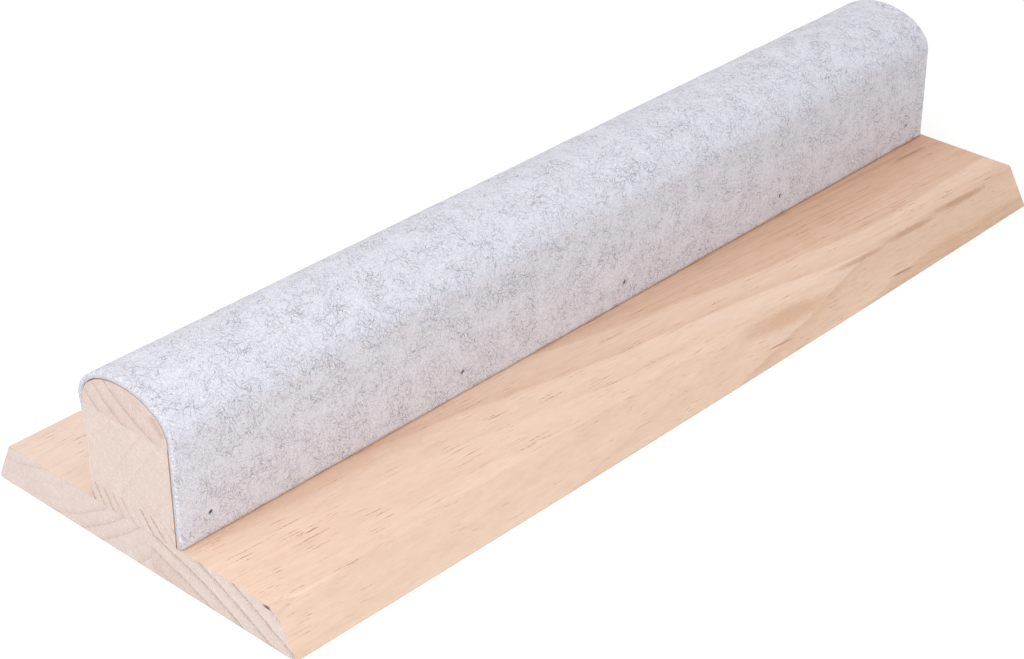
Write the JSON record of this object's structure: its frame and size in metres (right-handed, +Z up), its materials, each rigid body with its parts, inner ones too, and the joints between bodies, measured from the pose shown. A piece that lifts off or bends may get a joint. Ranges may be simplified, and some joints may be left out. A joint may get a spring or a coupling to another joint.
{
  "type": "seam pressing tool",
  "caption": "Wooden seam pressing stand: a bevelled base board carries a raised, arch-topped rail wrapped in wool felt, over which a seam is laid and pressed open.",
  "frame": {"origin": "middle of the underside of the base board", "axes": "+X along the rail and the base, +Z up out of the base, -Y towards the side that the picture shows"},
  "size_m": [0.4, 0.1496, 0.0685],
  "materials": {
    "planed_pine": "planed and sanded, unfinished",
    "wool_felt": "pressed wool felt, grey melange",
    "brad_steel": "drawn wire, bare",
    "screw_steel": "zinc plated"
  },
  "bodies": {
    "root": {"base_stave_rear": "planed_pine", "base_stave_front": "planed_pine", "rail_bottom_lamination": "planed_pine", "rail_core_lamination": "planed_pine", "rail_top_lamination": "planed_pine", "felt_cover": "wool_felt", "felt_brad_front_1": "brad_steel", "felt_brad_front_2": "brad_steel", "felt_brad_front_3": "brad_steel", "felt_brad_front_4": "brad_steel", "felt_brad_front_5": "brad_steel", "felt_brad_rear_1": "brad_steel", "felt_brad_rear_2": "brad_steel", "felt_brad_rear_3": "brad_steel", "felt_brad_rear_4": "brad_steel", "felt_brad_rear_5": "brad_steel", "rail_screw_1": "screw_steel", "rail_screw_2": "screw_steel", "rail_screw_3": "screw_steel"}
  },
  "joints": []
}
